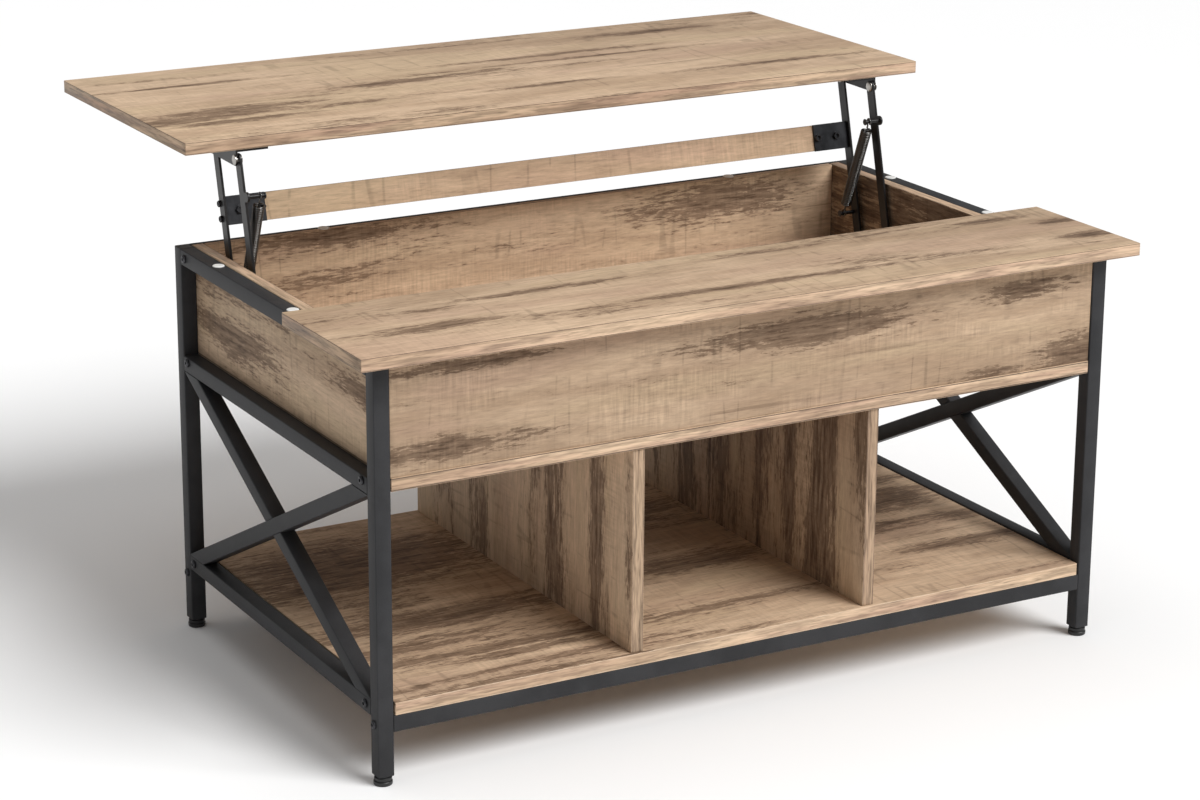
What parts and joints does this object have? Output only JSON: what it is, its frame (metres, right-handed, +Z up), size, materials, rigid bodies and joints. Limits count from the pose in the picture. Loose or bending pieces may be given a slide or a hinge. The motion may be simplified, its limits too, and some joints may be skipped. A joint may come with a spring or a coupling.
{
  "type": "lift top coffee table",
  "caption": "Rectangular coffee table with a fixed front top, a raisable rear top on a four-bar lift, a storage box and an open three-bay shelf on X-braced steel frames.",
  "frame": {"origin": "on the floor, under the centre of the object's box with the lift top raised as at rest", "axes": "+X along the table's length to its right as seen from the fixed top's side, +Y from the fixed top towards the lift top, +Z up"},
  "size_m": [1, 0.861, 0.6251],
  "materials": {
    "oak_board": "rustic oak laminate, matt, faintly brushed",
    "black_steel": "matt black powder coat",
    "zinc_steel": "zinc plated",
    "rivet_steel": "dull nickel",
    "spring_steel": "oiled black",
    "black_plastic": "moulded",
    "white_bumper": "soft, slightly glossy",
    "beech_dowel": "plain fluted dowel"
  },
  "bodies": {
    "frame": {"leg_front_left": "black_steel", "leg_front_right": "black_steel", "leg_rear_left": "black_steel", "leg_rear_right": "black_steel", "top_rail_left": "black_steel", "top_rail_right": "black_steel", "mid_rail_left": "black_steel", "mid_rail_right": "black_steel", "low_rail_left": "black_steel", "low_rail_right": "black_steel", "brace_left": "black_steel", "brace_right": "black_steel", "half_brace_left": "black_steel", "half_brace_right": "black_steel", "front_rail": "black_steel", "rear_rail": "black_steel", "rear_bar": "black_steel", "rail_end_inserts": "zinc_steel", "leg_caps": "black_plastic", "leg_inserts": "black_plastic", "fixed_top": "oak_board", "front_panel": "oak_board", "side_panel_left": "oak_board", "side_panel_right": "oak_board", "rear_panel": "oak_board", "box_floor": "oak_board", "shelf": "oak_board", "divider_left": "oak_board", "divider_right": "oak_board", "rail_bolts": "black_steel", "board_bolts": "black_steel", "panel_bolts": "black_steel", "divider_screws": "zinc_steel", "wood_screws": "zinc_steel", "panel_dowels": "beech_dowel", "angle_brackets": "zinc_steel", "bumpers": "white_bumper", "base_brackets": "black_steel", "base_rivets": "rivet_steel"},
    "rear_arms": {"rear_arm_left": "black_steel", "rear_arm_right": "black_steel", "link_plates": "black_steel", "batten": "oak_board", "link_bolts": "black_steel", "low_spring_pins": "black_steel"},
    "lift_top": {"lift_top": "oak_board", "top_brackets": "black_steel", "top_rivets": "rivet_steel", "top_bracket_screws": "zinc_steel"},
    "front_arm_left": {"front_arm_left": "black_steel"},
    "front_arm_right": {"front_arm_right": "black_steel"},
    "spring_left": {"spring_left": "spring_steel"},
    "spring_right": {"spring_right": "spring_steel"},
    "spring_hook_left": {"spring_hook_left": "spring_steel"},
    "spring_hook_right": {"spring_hook_right": "spring_steel"},
    "foot_front_left": {"foot_front_left": "black_plastic"},
    "foot_rear_left": {"foot_rear_left": "black_plastic"},
    "foot_front_right": {"foot_front_right": "black_plastic"},
    "foot_rear_right": {"foot_rear_right": "black_plastic"}
  },
  "joints": [
    {"name": "lift", "type": "hinge", "parent": "frame", "child": "rear_arms", "pos_m": [0, 0.0493, 0.38072], "axis": [1, 0, 0], "range_deg": [0, 81.4], "stiffness_Nm_per_rad": 3, "springref_deg": -17.19},
    {"name": "lift_top_pivot", "type": "hinge", "parent": "rear_arms", "child": "lift_top", "pos_m": [0, 0.1035, 0.59806], "axis": [1, 0, 0], "range_deg": [-81.45, 0]},
    {"name": "front_arm_left_pivot", "type": "hinge", "parent": "frame", "child": "front_arm_left", "pos_m": [0, -0.0177, 0.38072], "axis": [1, 0, 0], "range_deg": [0, 81.45]},
    {"name": "front_arm_right_pivot", "type": "hinge", "parent": "frame", "child": "front_arm_right", "pos_m": [0, -0.0177, 0.38072], "axis": [1, 0, 0], "range_deg": [0, 81.45]},
    {"name": "spring_left_swing", "type": "hinge", "parent": "rear_arms", "child": "spring_left", "pos_m": [-0.4175, 0.06528, 0.42827], "axis": [1, 0, 0], "range_deg": [-23.22, 0], "deforming": ["spring_left"]},
    {"name": "spring_left_stretch", "type": "slide", "parent": "spring_left", "child": "spring_hook_left", "axis": [0, -0.3657, 0.9308], "range_m": [0, 0.05676], "deforming": ["spring_hook_left"]},
    {"name": "spring_right_swing", "type": "hinge", "parent": "rear_arms", "child": "spring_right", "pos_m": [0.4175, 0.06528, 0.42827], "axis": [1, 0, 0], "range_deg": [-23.22, 0], "deforming": ["spring_right"]},
    {"name": "spring_right_stretch", "type": "slide", "parent": "spring_right", "child": "spring_hook_right", "axis": [0, -0.3657, 0.9308], "range_m": [0, 0.05676], "deforming": ["spring_hook_right"]},
    {"name": "foot_front_left_screw", "type": "slide", "parent": "frame", "child": "foot_front_left", "axis": [0, 0, -1], "range_m": [0, 0.01]},
    {"name": "foot_rear_left_screw", "type": "slide", "parent": "frame", "child": "foot_rear_left", "axis": [0, 0, -1], "range_m": [0, 0.01]},
    {"name": "foot_front_right_screw", "type": "slide", "parent": "frame", "child": "foot_front_right", "axis": [0, 0, -1], "range_m": [0, 0.01]},
    {"name": "foot_rear_right_screw", "type": "slide", "parent": "frame", "child": "foot_rear_right", "axis": [0, 0, -1], "range_m": [0, 0.01]}
  ],
  "couplings": [
    {"joint": "lift_top_pivot", "follows": "lift", "ratio": -1},
    {"joint": "front_arm_left_pivot", "follows": "lift", "ratio": 1},
    {"joint": "front_arm_right_pivot", "follows": "lift", "ratio": 1},
    {"joint": "spring_left_swing", "follows": "lift", "ratio": -0.28466},
    {"joint": "spring_left_stretch", "follows": "lift", "m_per_rad": 0.039884},
    {"joint": "spring_right_swing", "follows": "lift", "ratio": -0.28466},
    {"joint": "spring_right_stretch", "follows": "lift", "m_per_rad": 0.039884}
  ]
}
